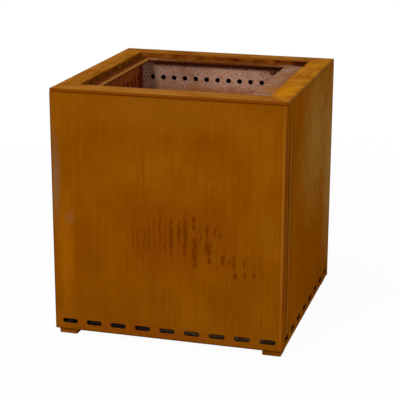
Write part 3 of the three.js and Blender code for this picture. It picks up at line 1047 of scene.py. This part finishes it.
@dataclass
class Hanger:
    """Bracket, bolt, washer and nut that tie one firebox wall to the casing.

    Fasteners are built at the front. A distance along their axis is counted from the pit's middle.
    """

    side: Side
    sides: int = 48  # points of each ring
    sharp: float = math.radians(28)
    crest: float = 0.995  # share of a hexagon's width that its chamfered edges leave
    chamfer: float = 0.0003  # height of a hexagon's chamfer at its flats
    fall: float = 0.55  # slope of the chamfer
    # Depth below the head's face, and radius as a share of its width, of the dish.
    head_face: tuple[tuple[float, float], ...] = ((0.0004, 0.20), (0.0, 0.36), (0.0, 0.45))
    head_edge: float = 0.97  # share of the head's width at its seat, where the edge is broken
    head_gap: float = 0.0003  # distance by which the seat stands off the wall
    neck: float = 0.0004  # radius of the round neck below the head
    shank: float = 0.005  # radius of the bolt
    thread_pitch: float = 0.0015
    thread_depth: float = 0.0006
    thread_steps: int = 6  # rings in each turn of thread
    runout: float = 0.001  # length at the tip without thread
    tip: float = 0.0012  # how much thinner the tip is
    washer_reach: float = 0.0088  # outer radius of the washer
    washer_edge: float = 0.0003
    bore: float = 0.0053  # radius of the hole in washer and nut
    nut_face: float = 0.46  # radius of the nut's flat face, as a share of its width
    lead_in: float = 0.0005  # width of the chamfer of the nut's hole

    def build(self, steel: Finish, bracket: Finish) -> None:
        """Builds the fasteners of one side and dresses its bracket.

        Args:
            steel: Finish of the fasteners.
            bracket: Finish of the bracket.
        """
        soften(f"hanger_bracket_{self.side.label}", bracket)
        for name, mesh in (("bolt", self.bolt()), ("washer", self.washer()), ("nut", self.nut())):
            node = f"hanger_{name}_{self.side.label}"
            mesh.transform(self.side.turn @ self.slide())
            made = piece(f"{node}_fine", mesh, steel, self.sharp)
            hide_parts(node)
            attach(made, "body")

    def axis(self, away: float) -> Vector:
        """Point on the axis of the front bolt at a distance."""
        low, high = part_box("hanger_bolt_front")
        return Vector(((low.x + high.x) / 2, -away, (low.z + high.z) / 2))

    def slide(self) -> Matrix:
        """Move along the front wall to where this side's own hanger sits on its wall.

        Returns:
            The move.
        """
        low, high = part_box(f"hanger_bolt_{self.side.label}")
        own = self.side.turn.inverted() @ ((low + high) / 2)
        return Matrix.Translation((own.x - self.axis(0).x, 0, 0))

    def section(self, away: float, radii: Sequence[float]) -> Ring:
        """Ring round the axis at a distance, with a radius for each point."""
        return around(self.axis(away), Vector((1, 0, 0)), Vector((0, 0, 1)), radii)

    def ring(self, away: float, radius: float) -> Ring:
        """Circle round the axis at a distance."""
        return self.section(away, [radius] * self.sides)

    def hexagon(self, away: float, flats: float, fall: float = 0.0) -> Ring:
        """A hexagon with its flats up and down, whose corners may fall back as a chamfer's do.

        Args:
            away: Distance of its flats.
            flats: Its width across the flats.
            fall: Share of a corner's overhang by which it falls back, signed.

        Returns:
            The points.
        """
        points = []
        for i in range(self.sides):
            angle = 2 * math.pi * i / self.sides
            reach = flats / 2 / math.cos((angle % (math.pi / 3)) - math.pi / 6)
            back = away + fall * (reach - flats / 2)
            place = Vector((reach * math.cos(angle), -back, reach * math.sin(angle)))
            points.append(self.axis(0) + place)
        return points

    def bolt(self) -> Mesh:
        """Hexagon bolt with a chamfered head and a threaded end.

        Returns:
            The mesh.
        """
        low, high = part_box("hanger_bolt_front")
        face, end = -high.y, -low.y
        seat = -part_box("firebox_front")[1].y - self.head_gap
        start = -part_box("hanger_washer_front")[1].y
        width = high.z - low.z
        flats = width * self.crest
        rings = [self.ring(face + depth, width * share) for depth, share in self.head_face]
        rings += [
            self.hexagon(face + self.chamfer, flats, self.fall),
            self.hexagon(seat - self.neck / 2, flats),
            self.hexagon(seat, width * self.head_edge),
            self.ring(seat, self.shank + self.neck),
            self.ring(seat + self.neck * 1.5, self.shank),
            self.ring(start, self.shank),
        ]
        step = self.thread_pitch / self.thread_steps
        for i in range(1, int((end - self.runout - start) / step) + 1):
            away = start + i * step
            turns = ((away / self.thread_pitch + k / self.sides) % 1 for k in range(self.sides))
            depths = (self.thread_depth * (1 - abs(2 * turn - 1)) for turn in turns)
            rings.append(self.section(away, [self.shank - depth for depth in depths]))
        rings.append(self.ring(end, self.shank - self.tip))
        return skin(rings)

    def washer(self) -> Mesh:
        """Flat washer with stamped, slightly rounded edges.

        Returns:
            The mesh.
        """
        low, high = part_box("hanger_washer_front")
        near, far = -high.y, -low.y
        outer, inner, edge = self.washer_reach, self.bore, self.washer_edge
        rings = [
            self.ring(near, inner + edge),
            self.ring(near, outer - edge),
            self.ring(near + edge, outer),
            self.ring(far - edge, outer),
            self.ring(far, outer - edge),
            self.ring(far, inner + edge),
            self.ring(far - edge, inner),
            self.ring(near + edge, inner),
        ]
        return skin(rings, closed=True)

    def nut(self) -> Mesh:
        """Hexagon nut with both faces chamfered.

        Returns:
            The mesh.
        """
        low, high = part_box("hanger_nut_front")
        near, far = -high.y, -low.y
        width = high.z - low.z
        flats, flat_face = width * self.crest, width * self.nut_face
        rings = [
            self.ring(near, self.bore + self.lead_in),
            self.ring(near, flat_face),
            self.hexagon(near + self.chamfer, flats, self.fall),
            self.hexagon(far - self.chamfer, flats, -self.fall),
            self.ring(far, flat_face),
            self.ring(far, self.bore + self.lead_in),
            self.ring(far - self.lead_in, self.bore),
            self.ring(near + self.lead_in, self.bore),
        ]
        return skin(rings, closed=True)


@dataclass
class RimFrame:
    """Lift-off frame: mitred members, skirts, lugs, gussets and their welds."""

    bead: WeldBead = WeldBead(0.0035)
    inset: float = 0.004  # how far a bead stops short of an edge
    gusset_run: float = 0.030  # length of the beads along a gusset
    # Where the two beads along a skirt start and end.
    skirt_runs: tuple[tuple[float, float], ...] = ((-0.12, -0.08), (0.08, 0.12))
    mitre_gap: float = 0.0006  # width of the ground weld in a mitre
    mitre_depth: float = 0.0024
    mitre_inset: float = 0.0012  # how far it stops short of the outer corner
    mitre_sunk: float = 0.0001  # how far it lies below the top
    # Finish of each member, in the order of the sides.
    members: tuple[RustPatina, ...] = (
        # Paler on top than the casing: painted light for the stronger light on the tops; the outer
        # faces of the front and right members are darker than their tops.
        RustPatina(
            "rust_patina_rim_front", "#9c601e", "#884c10", "#ac722c", Grain.ACROSS, shift=1.1,
            patches=(Patch((0, -253, 536), (400, 5, 12), "#783a02", 0.95, 0.1, 0.1, True),),
        ),
        RustPatina(
            "rust_patina_rim_right", "#b06c1c", "#9a580a", "#c48420", Grain.DEEP, shift=2.2,
            cloud_mm=40,
            patches=(
                Patch((226, -150, 538), (30, 90, 9), "#cc8010", 0.8, 0.5),
                Patch((253, 0, 536), (5, 400, 12), "#80501e", 0.85, 0.1, 0.1, True),
            ),
        ),
        RustPatina(
            "rust_patina_rim_back", "#a2661e", "#80460c", "#b87e2c", Grain.ACROSS, shift=3.3,
            patches=(Patch((0, 203, 538), (400, 14, 9), "#8a4a12", 0.8, 0.2, 0.8, True),),
        ),
        RustPatina(
            "rust_patina_rim_left", "#9c5f1a", "#82460c", "#b07424", Grain.DEEP, shift=4.4
        ),
    )
    # Finish of what lies below the members: dark and blotched by the heat, and painted shade in
    # the back right corner.
    recess: RustPatina = RustPatina(
        "rust_patina_recess", "#84420c", "#541e04", "#9a5c1a", Grain.ACROSS, shift=6.1, cloud_mm=22,
        speck_mm=4.0, speck_strength=0.8,
        patches=(Patch((184, 203, 531), (30, 8, 14), "#401602", 0.92, 0.3, 0.5),),
    )

    def build(self) -> None:
        """Dresses the frame and adds its welds."""
        members = [member.build() for member in self.members]
        recess = self.recess.build()
        for side, member in zip(Side, members, strict=True):
            soften(f"rim_{side.label}", member)
            soften(f"rim_skirt_{side.label}", recess)
            soften(f"rim_lug_{side.label}", recess)
        for corner in Corner:
            soften(f"rim_gusset_{corner.label}", recess)
        self.welds(recess)
        self.mitres(members[Side.FRONT.value])

    def welds(self, finish: Finish) -> None:
        """Beads along gussets, lugs and skirts, seen from below.

        Args:
            finish: Finish of the welds.
        """
        gusset_low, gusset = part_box("rim_gusset_front_left")
        lug_low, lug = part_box("rim_lug_front")
        skirt_low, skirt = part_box("rim_skirt_front")
        x, y = gusset_low.x + self.inset, gusset_low.y + self.inset
        runs = [
            ((gusset.x, y, gusset.z), (gusset.x, y + self.gusset_run, gusset.z)),
            ((x, gusset.y, gusset.z), (x + self.gusset_run, gusset.y, gusset.z)),
            ((lug_low.x + self.inset, lug.y, lug.z), (lug.x - self.inset, lug.y, lug.z)),
        ]
        for start, end in self.skirt_runs:
            runs.append(((start, skirt_low.y, skirt.z), (end, skirt_low.y, skirt.z)))
        beads = []
        for number, corner in enumerate(Corner):
            beads += [self.bead.run(start, end, 80 + number, corner) for start, end in runs]
        made = piece("rim_welds", joined(beads), finish)
        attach(made, "rim")

    def mitres(self, finish: Finish) -> None:
        """Welds of the mitres, ground flush with the top.

        Args:
            finish: Finish of the welds.
        """
        low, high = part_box("rim_front")
        inner, outer = -high.y, -low.y - self.mitre_inset
        top = high.z - self.mitre_sunk
        across = Vector((1, -1, 0)).normalized() * (self.mitre_gap / 2)
        parts = []
        for corner in Corner:
            rings = []
            for level in (top - self.mitre_depth, top):
                start = Vector((-outer, -outer, level))
                end = Vector((-inner, -inner, level))
                rings.append([start - across, start + across, end + across, end - across])
            strip = skin(rings)
            strip.transform(corner.turn)
            parts.append(strip)
        made = piece("rim_mitre_welds", joined(parts), finish)
        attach(made, "rim")


@dataclass
class FlameRing:
    """Loose plate with a square mouth that lies on the firebox."""

    edge: float = 0.0005
    finish: HeatScale = HeatScale(
        "heat_scale_ring", base="#9c7054", grey="#a48674", rust="#90623a", dark="#5a3418",
        ember="#92582a", shift=9.0,
        patches=(
            # Left arm: brown at the mouth, painted shadow of the rim over its outer part.
            Patch((-179, 16, 527), (9, 300, 12), "#8e5a26", 0.95, 0.1, 0.4, True),
            Patch((-206, 16, 527), (24, 300, 12), "#622a04", 0.97, 0.1, 0.15, True),
            Patch((-171, 16, 527), (4, 170, 12), "#7a4018", 0.7, 0.1, 0.8, True),
            # Back arm: two brown bands.
            Patch((-5, 203, 527), (185, 26, 12), "#744212", 0.97, 0.1, 0.3, True),
            Patch((-8, 174, 527), (182, 22, 12), "#582604", 0.97, 0.1, 0.8, True),
            # Right arm: brown mouth, orange rust near the front, painted shade in the back corner.
            Patch((186, 20, 527), (9, 200, 12), "#90582c", 0.7, 0.3, 0.8, True),
            Patch((200, -60, 527), (16, 100, 12), "#b46c1c", 0.9, 0.3),
            Patch((175, -80, 527), (34, 40, 12), "#a4682e", 0.8, 0.4),
            Patch((188, 200, 527), (36, 15, 12), "#50200a", 0.95, 0.3, 0.4),
            # Cut edge of the mouth, which the flames keep dark.
            Patch((-11.16, 15.84, 525), (161.6, 161.6, 12), "#5a240a", 0.95, 0.0, 0.002, True),
        ),
    )

    def build(self) -> None:
        """Dresses the plate."""
        soften("flame_ring", self.finish.build(), self.edge)


@dataclass
class Grate:
    """Welded grate: frame of flat bar, middle rib, round bars and the welds between them."""

    frame_width: float = 0.014
    rib_width: float = 0.008
    bar_radius: float = 0.005
    bars: int = 13
    edge: float = 0.0008
    corner: float = 0.004
    inner_corner: float = 0.0012
    rib_overlap: float = 0.001
    bar_overlap: float = 0.002
    bar_steps: int = 48
    bar_sides: int = 20
    # Mean share of its radius that scaling has left, and how much that varies.
    bar_size: tuple[float, float] = (0.985, 0.02)
    bar_bumps: float = 60  # number of thick and thin places in a metre
    bar_apart: float = 3.7  # offset that sets the places of two bars apart
    bead: WeldBead = WeldBead(0.0035)
    bead_reach: float = 0.8  # half a bead's length, as a share of the bar's radius
    bead_rise: float = 0.55  # its height over the bar's middle, as such a share
    steel: OxidisedSteel = OxidisedSteel(
        "oxidised_bar_grate", "#4a3a30", "#6a3c1e", 0.55, 12, 0.5, 0.62
    )

    def build(self) -> None:
        """Builds the grate in place of its plain solid."""
        low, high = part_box("fire_grate")
        reach = high.x
        inner = reach - self.frame_width
        middle = (low.z + high.z) / 2
        end = inner - 2 * inner / (self.bars + 1)
        parts = [
            self.frame_mesh(low.z, high.z, reach, inner),
            self.rib_mesh(low.z, high.z, inner),
        ]
        across = Vector((0, self.bar_radius * self.bead_reach, 0))
        for number in range(self.bars):
            y = -end + 2 * end * number / (self.bars - 1)
            parts.append(self.bar_mesh(y, middle, inner, number))
            for side in (-1, 1):
                spot = Vector((side * inner, y, middle + self.bar_radius * self.bead_rise))
                parts.append(self.bead.run(spot - across, spot + across, 100 + number))
        made = piece("fire_grate_fine", joined(parts), self.steel.build())
        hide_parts("fire_grate")
        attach(made, "grate")

    def frame_mesh(self, bottom: float, top: float, reach: float, inner: float) -> Mesh:
        """Square frame with eased edges.

        Args:
            bottom: Its underside.
            top: Its top.
            reach: Half its outer width.
            inner: Half its inner width.

        Returns:
            The mesh.
        """
        ease, outer, tight = self.edge, self.corner, self.inner_corner
        rings = [
            rounded_square(inner + ease, tight, bottom),
            rounded_square(reach - ease, outer, bottom),
            rounded_square(reach, outer, bottom + ease),
            rounded_square(reach, outer, top - ease),
            rounded_square(reach - ease, outer, top),
            rounded_square(inner + ease, tight, top),
            rounded_square(inner, tight, top - ease),
            rounded_square(inner, tight, bottom + ease),
        ]
        return skin(rings, closed=True)

    def rib_mesh(self, bottom: float, top: float, inner: float) -> Mesh:
        """Flat bar across the middle of the grate.

        Args:
            bottom: Its underside.
            top: Its top.
            inner: Half the frame's inner width.

        Returns:
            The mesh.
        """
        half, ease = self.rib_width / 2, self.edge
        section = (
            (-half, bottom + ease),
            (-half + ease, bottom),
            (half - ease, bottom),
            (half, bottom + ease),
            (half, top - ease),
            (half - ease, top),
            (ease - half, top),
            (-half, top - ease),
        )
        reach = inner + self.rib_overlap
        return skin([[Vector((x, y, z)) for x, z in section] for y in (-reach, reach)])

    def bar_mesh(self, y: float, level: float, inner: float, seed: int) -> Mesh:
        """One round bar, a little uneven from scaling.

        Args:
            y: Its place.
            level: Height of its middle.
            inner: Half the frame's inner width.
            seed: Number that sets its unevenness.

        Returns:
            The mesh.
        """
        span = inner + self.bar_overlap
        count = self.bar_steps
        path = [Vector((-span + 2 * span * i / count, y, level)) for i in range(count + 1)]
        share, scaling = self.bar_size
        radii = []
        for point in path:
            uneven = noise.noise(Vector((point.x * self.bar_bumps, seed * self.bar_apart, 1)))
            radii.append(self.bar_radius * (share + scaling * uneven))
        return swept(path, radii, self.bar_sides)


@dataclass
class AshPan:
    """Ash pan with a rolled top edge and its two lifting handles."""

    sheet: float = 0.002
    corner: float = 0.008
    bottom_bend: float = 0.003
    inner_bend: float = 0.6  # radius of that bend inside, as a share of the outer one
    roll: float = 0.0016
    roll_lean: float = 0.00016  # how far its top lies inside the middle of the sheet
    roll_steps: int = 8
    rod: float = 0.003
    rod_share: float = 0.98  # share of that radius which the rod has, so that it stays in its solid
    rod_sides: int = 16
    span: float = 0.100
    bend: float = 0.012
    bend_steps: int = 8  # steps in a bend, and in the leg below it
    # Radius of the rounded tips, as shares of the rod's own.
    tip: tuple[float, ...] = (0.5, 0.85, 0.98)
    tip_step: float = 0.0005  # spacing of their sections
    leg_start: float = 0.002  # how far above the tip a leg's even part starts
    bead: WeldBead = WeldBead(0.0035)
    bead_run: float = 0.015
    bead_aside: float = 0.8  # how far it lies from the rod's middle, as a share of the rod's radius
    bead_proud: float = 0.0008  # how far its middle stands off the pan
    steel: OxidisedSteel = OxidisedSteel(
        "oxidised_sheet_pan", "#6a6058", "#7a4a26", 0.35, 22, 0.6, 0.5
    )
    handle_steel: OxidisedSteel = OxidisedSteel(
        "oxidised_rod_handle", "#54483e", "#74421e", 0.4, 8, 0.6, 0.5, Grain.DEEP
    )

    def build(self) -> None:
        """Builds pan and handles in place of their plain solids."""
        pan = piece("ash_pan_fine", self.tray(), self.steel.build())
        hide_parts("ash_pan")
        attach(pan, "pan")
        rod = self.handle_steel.build()
        for side in (Side.RIGHT, Side.LEFT):
            mesh = self.handle()
            mesh.transform(side.turn)
            node = f"ash_pan_handle_{side.label}"
            made = piece(f"{node}_fine", mesh, rod)
            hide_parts(node)
            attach(made, "pan")

    def tray(self) -> Mesh:
        """Folded tray with round corners and a rolled edge.

        Returns:
            The mesh.
        """
        low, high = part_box("ash_pan")
        reach, bottom, top = high.x, low.z, high.z
        inner, floor, edge = reach - self.sheet, bottom + self.sheet, top - self.roll
        inner_corner = self.corner - self.sheet
        rings = []
        for share in (0.0, 0.33, 0.67, 1.0):
            angle = share * math.pi / 2
            draw = self.bottom_bend * (1 - math.sin(angle))
            rise = self.bottom_bend * (1 - math.cos(angle))
            rings.append(rounded_square(reach - draw, self.corner, bottom + rise))
        rings.append(rounded_square(reach, self.corner, edge))
        middle = reach - self.sheet / 2 - self.roll_lean
        for step in range(1, self.roll_steps):
            angle = math.pi * step / self.roll_steps
            out = middle + math.cos(angle) * (reach - middle)
            level = edge + math.sin(angle) * self.roll
            rings.append(rounded_square(out, self.corner - reach + out, level))
        rings.append(rounded_square(inner, inner_corner, edge))
        inner_bend = self.bottom_bend * self.inner_bend
        for share in (0.0, 0.5, 1.0):
            angle = share * math.pi / 2
            draw = inner_bend * (1 - math.cos(angle))
            rise = inner_bend * (1 - math.sin(angle))
            rings.append(rounded_square(inner - draw, inner_corner, floor + rise))
        return skin(rings)

    def handle(self) -> Mesh:
        """Bent rod of the front handle with the welds that hold it.

        Returns:
            The mesh.
        """
        low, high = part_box("ash_pan_handle_right")
        y = -(low.x + high.x) / 2
        foot, reach = low.z, self.span / 2
        leg, knee = foot + self.leg_start, high.z - self.rod - self.bend
        profile = [(0.0, foot + self.tip_step * i) for i in range(len(self.tip))]
        for i in range(1, self.bend_steps + 1):
            profile.append((0.0, leg + (knee - leg) * i / self.bend_steps))
        for i in range(1, self.bend_steps + 1):
            angle = math.pi / 2 * i / self.bend_steps
            out, rise = self.bend * (1 - math.cos(angle)), self.bend * math.sin(angle)
            profile.append((out, knee + rise))
        path = [Vector((-reach + x, y, z)) for x, z in profile]
        path += [Vector((-point.x, point.y, point.z)) for point in reversed(path)]
        radii = [self.rod * self.rod_share] * len(path)
        for place, share in enumerate(self.tip):
            radii[place] = radii[-1 - place] = self.rod * self.rod_share * share
        parts = [swept(path, radii, self.rod_sides)]
        wall = y - self.rod + self.bead_proud
        for x in (-reach, reach):
            for side in (-1, 1):
                spot = Vector((x + side * self.rod * self.bead_aside, wall, leg))
                end = spot + Vector((0, 0, self.bead_run))
                parts.append(self.bead.run(spot, end, int(x * 1000) + side))
        return joined(parts)


# ---- studio


@dataclass(frozen=True)
class Lamp:
    """One soft lamp that is aimed at the pit."""

    name: str
    place: Point
    aim: Point
    size: float
    watts: float

    def build(self) -> None:
        """Hangs the lamp."""
        data = bpy.data.lights.new(self.name, "AREA")
        data.shape = "DISK"
        data.size = self.size
        data.energy = self.watts
        lamp = bpy.data.objects.new(self.name, data)
        lamp.location = self.place
        direction = Vector(self.aim) - Vector(self.place)
        lamp.rotation_euler = direction.to_track_quat("-Z", "Y").to_euler()
        bpy.context.scene.collection.objects.link(lamp)


@dataclass
class Studio:
    """Plain pale studio: camera, lamps, world and floor."""

    position: Point = (0.75730, -2.68149, 1.07022)
    yaw: float = -15.748  # its turn to the right of straight ahead, in degrees
    pitch: float = 16.424  # its tilt down, in degrees
    roll: float = 0.18  # its tilt to the side, in degrees
    lens_mm: float = 116.97
    sensor_mm: float = 36
    world_level: float = 0.3
    floor_reach: float = 12.0  # half the floor's width
    # Height of the floor, which clears the feet so that the two don't flicker.
    floor_level: float = -0.0002
    floor_grey: float = 0.85  # colour of the floor as light sees it
    # How white the camera sees the floor near the pit, where its shadow shows.
    white_near: float = 0.96
    # Distance from the middle at which the floor starts to turn fully white.
    white_start: float = 0.5
    white_end: float = 2.0  # distance at which it is
    lamps: tuple[Lamp, ...] = (
        Lamp("key_lamp", (-0.52, -2.76, 2.53), (0, 0, 0.45), 0.9, 60),
        Lamp("left_lamp", (-2.91, 0.0, 2.39), (0, 0, 0.45), 1.6, 60),
        Lamp("right_lamp", (3.3, -1.0, 0.75), (0, 0, 0.3), 1.6, 34),
    )

    def build(self) -> None:
        """Sets up the studio."""
        self.camera()
        for lamp in self.lamps:
            lamp.build()
        self.world()
        self.floor()
        bpy.context.scene.view_settings.view_transform = "Standard"

    def camera(self) -> None:
        """Camera at the angle of the photograph."""
        yaw, pitch, roll = (math.radians(angle) for angle in (self.yaw, self.pitch, self.roll))
        level = Vector((math.cos(yaw), -math.sin(yaw), 0))
        flat = math.cos(pitch)
        forward = Vector((math.sin(yaw) * flat, math.cos(yaw) * flat, -math.sin(pitch)))
        upright = level.cross(forward)
        right = level * math.cos(roll) + upright * math.sin(roll)
        up = upright * math.cos(roll) - level * math.sin(roll)
        data = bpy.data.cameras.new("photo_camera")
        data.lens = self.lens_mm
        data.sensor_width = self.sensor_mm
        camera = bpy.data.objects.new("photo_camera", data)
        turn = Matrix((right, up, -forward)).transposed().to_4x4()
        camera.matrix_world = Matrix.Translation(self.position) @ turn
        bpy.context.scene.collection.objects.link(camera)
        bpy.context.scene.camera = camera

    def world(self) -> None:
        """Even light from all round, and a white backdrop for the camera."""
        world = bpy.data.worlds.new("studio_world")
        world.use_nodes = True
        bpy.context.scene.world = world
        tree = world.node_tree
        tree.nodes.clear()
        light = add_node(tree, "ShaderNodeBackground", WHITE, self.world_level)[0]
        white = add_node(tree, "ShaderNodeBackground", WHITE, 1.0)[0]
        mixed = add_node(tree, "ShaderNodeMixShader", seen_directly(tree), light, white)[0]
        add_node(tree, "ShaderNodeOutputWorld", mixed)

    def floor(self) -> None:
        """Pale floor that the camera sees as white, with the pit's shadow kept faint."""
        material = bpy.data.materials.new("studio_floor")
        material.use_nodes = True
        tree = material.node_tree
        tree.nodes.clear()
        grey = (self.floor_grey, self.floor_grey, self.floor_grey, 1)
        pale = add_node(tree, "ShaderNodeBsdfDiffuse", grey)[0]
        white = add_node(tree, "ShaderNodeEmission", WHITE, 1.0)[0]
        place = add_node(tree, "ShaderNodeTexCoord")["Object"]
        away = add_node(tree, "ShaderNodeVectorMath", place, operation="LENGTH")["Value"]
        steps = self.white_start, self.white_end, self.white_near
        whiteness = add_node(tree, "ShaderNodeMapRange", away, *steps, **SOFT)[0]
        inputs = seen_directly(tree), whiteness
        share = add_node(tree, "ShaderNodeMath", *inputs, operation="MULTIPLY")[0]
        mixed = add_node(tree, "ShaderNodeMixShader", share, pale, white)[0]
        add_node(tree, "ShaderNodeOutputMaterial", mixed)
        mesh = bmesh.new()
        corners = ((-1, -1), (1, -1), (1, 1), (-1, 1))
        points = (Vector((x, y, 0)) * self.floor_reach for x, y in corners)
        rise = Vector((0, 0, self.floor_level))
        mesh.faces.new([mesh.verts.new(point + rise) for point in points])
        piece("studio_floor", mesh, material)


def seen_directly(tree: Tree) -> Socket:
    """One where the camera sees a surface directly, in gloss or through glass.

    Args:
        tree: Node tree that gets the nodes.

    Returns:
        The mask.
    """
    path = add_node(tree, "ShaderNodeLightPath")
    seen = path["Is Camera Ray"]
    for ray in ("Is Glossy Ray", "Is Transmission Ray"):
        seen = add_node(tree, "ShaderNodeMath", seen, path[ray], operation="MAXIMUM")[0]
    return seen


def main() -> None:
    """Builds the fire pit and its studio."""
    Studio().build()
    Casing().build()
    Firebox().build()
    # Bolts, washers and nuts: black from the works, now browned by rust and heat, and darker still
    # as painted shade, for the bolt heads that sit in shade under the flame ring.
    fastener = OxidisedSteel(
        "blackened_steel_fasteners", "#3a1c0c", "#6a3010", 0.8, 5, 0.5, 0.45
    ).build()
    bracket = RustPatina(
        "rust_patina_brackets", base="#5e3210", deep="#43220b", pale="#784a1e", shift=5.5
    ).build()
    for side in Side:
        Hanger(side).build(fastener, bracket)
    RimFrame().build()
    FlameRing().build()
    Grate().build()
    AshPan().build()


if __name__ == "__main__":
    main()
